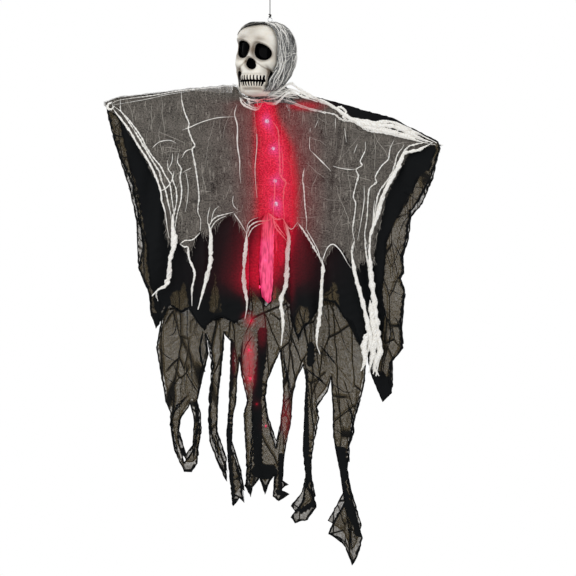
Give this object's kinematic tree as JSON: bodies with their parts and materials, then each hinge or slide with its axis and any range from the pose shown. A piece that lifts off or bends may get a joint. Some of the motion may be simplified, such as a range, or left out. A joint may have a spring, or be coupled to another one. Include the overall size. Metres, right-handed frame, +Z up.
{
  "type": "hanging skeleton ghost decoration",
  "caption": "Hooded skeleton ghost that hangs on a cord, with bendable wire arms, a torn gauze cape over a black net robe and sleeves, and a battery light string inside.",
  "frame": {"origin": "inside top of the hanging loop, where a hook bears", "axes": "+Z up, the figure faces -Y, +X to the viewer's right; the head is turned to the viewer's left"},
  "size_m": [0.559, 0.119, 0.976],
  "materials": {
    "dark_cord": "twisted cord, matt",
    "zinc_plated_steel": "satin, drawn and plated",
    "ivory_plastic": "moulded, low sheen",
    "white_foam": "moulded foam, matt",
    "grey_gauze": "open weave, matt",
    "black_net": "fine net, matt",
    "pink_liner": "thin woven, matt",
    "black_plastic": "moulded, fine grain",
    "copper_wire": "bare drawn wire",
    "clear_resin": "clear drop, gloss",
    "green_board": "solder mask",
    "black_thread": "wound thread, matt"
  },
  "bodies": {
    "hanger": {"hang_loop": "dark_cord", "hang_knot": "dark_cord", "hang_cord": "dark_cord", "eyelet_knot": "dark_cord"},
    "head": {"crown_eyelet": "zinc_plated_steel", "skull_face": "ivory_plastic", "head_core": "white_foam", "hood": "grey_gauze", "neck_stem": "black_plastic", "stem_push_nut": "zinc_plated_steel"},
    "torso": {"shoulder_hub": "black_plastic", "left_arm_rivet": "zinc_plated_steel", "right_arm_rivet": "zinc_plated_steel", "neck_tie": "grey_gauze", "battery_case": "black_plastic", "case_screw_left": "zinc_plated_steel", "case_screw_right": "zinc_plated_steel", "cell_1": "zinc_plated_steel", "cell_2": "zinc_plated_steel", "contact_negative": "zinc_plated_steel", "contact_positive": "zinc_plated_steel", "circuit_board": "green_board", "wire_gland": "black_plastic", "led_wire": "copper_wire", "led_01": "clear_resin", "led_02": "clear_resin", "led_03": "clear_resin", "led_04": "clear_resin", "led_05": "clear_resin", "led_06": "clear_resin", "led_07": "clear_resin", "led_08": "clear_resin", "led_09": "clear_resin", "led_10": "clear_resin", "led_11": "clear_resin", "led_12": "clear_resin", "robe_front": "black_net", "robe_back": "black_net", "inner_liner": "pink_liner", "cape_centre": "grey_gauze", "cape_back_centre": "grey_gauze"},
    "lid": {"battery_lid": "black_plastic"},
    "switch": {"switch_slider": "black_plastic"},
    "left_arm": {"left_arm_wire": "zinc_plated_steel", "left_wrist_tie": "grey_gauze", "left_sleeve_tie": "black_thread", "cape_left": "grey_gauze", "cape_back_left": "grey_gauze"},
    "left_drape": {"sleeve_left_front": "black_net", "sleeve_left_back": "black_net"},
    "right_arm": {"right_arm_wire": "zinc_plated_steel", "right_wrist_tie": "grey_gauze", "right_sleeve_tie": "black_thread", "cape_right": "grey_gauze", "cape_back_right": "grey_gauze"},
    "right_drape": {"sleeve_right_front": "black_net", "sleeve_right_back": "black_net"}
  },
  "joints": [
    {"name": "cord_spin", "type": "hinge", "parent": "hanger", "child": "head", "pos_m": [0, 0, -0.0752], "axis": [0, 0, 1], "continuous": true},
    {"name": "neck_turn", "type": "hinge", "parent": "head", "child": "torso", "pos_m": [0, 0, -0.205], "axis": [0, 0, 1], "range_deg": [-70, 10]},
    {"name": "left_arm_bend", "type": "hinge", "parent": "torso", "child": "left_arm", "pos_m": [-0.031, 0, -0.205], "axis": [0, 1, 0], "range_deg": [-43.5, 26.5], "deforming": ["cape_left", "cape_back_left", "sleeve_left_front", "sleeve_left_back"]},
    {"name": "right_arm_bend", "type": "hinge", "parent": "torso", "child": "right_arm", "pos_m": [0.031, 0, -0.205], "axis": [0, -1, 0], "range_deg": [-28.5, 41.5], "deforming": ["cape_right", "cape_back_right", "sleeve_right_front", "sleeve_right_back"]},
    {"name": "left_drape_swing", "type": "hinge", "parent": "left_arm", "child": "left_drape", "pos_m": [-0.15171, 0, -0.20816], "axis": [0, 1, 0], "range_deg": [-26.5, 43.5], "deforming": ["sleeve_left_front", "sleeve_left_back"]},
    {"name": "right_drape_swing", "type": "hinge", "parent": "right_arm", "child": "right_drape", "pos_m": [0.1578, 0, -0.24256], "axis": [0, -1, 0], "range_deg": [-41.5, 28.5], "deforming": ["sleeve_right_front", "sleeve_right_back"]},
    {"name": "switch_slide", "type": "slide", "parent": "torso", "child": "switch", "axis": [0, 0, 1], "range_m": [0, 0.0044]},
    {"name": "lid_slide", "type": "slide", "parent": "torso", "child": "lid", "axis": [0, 0, -1], "range_m": [0, 0.025]}
  ],
  "couplings": [
    {"joint": "left_drape_swing", "follows": "left_arm_bend", "ratio": -1},
    {"joint": "right_drape_swing", "follows": "right_arm_bend", "ratio": -1}
  ]
}
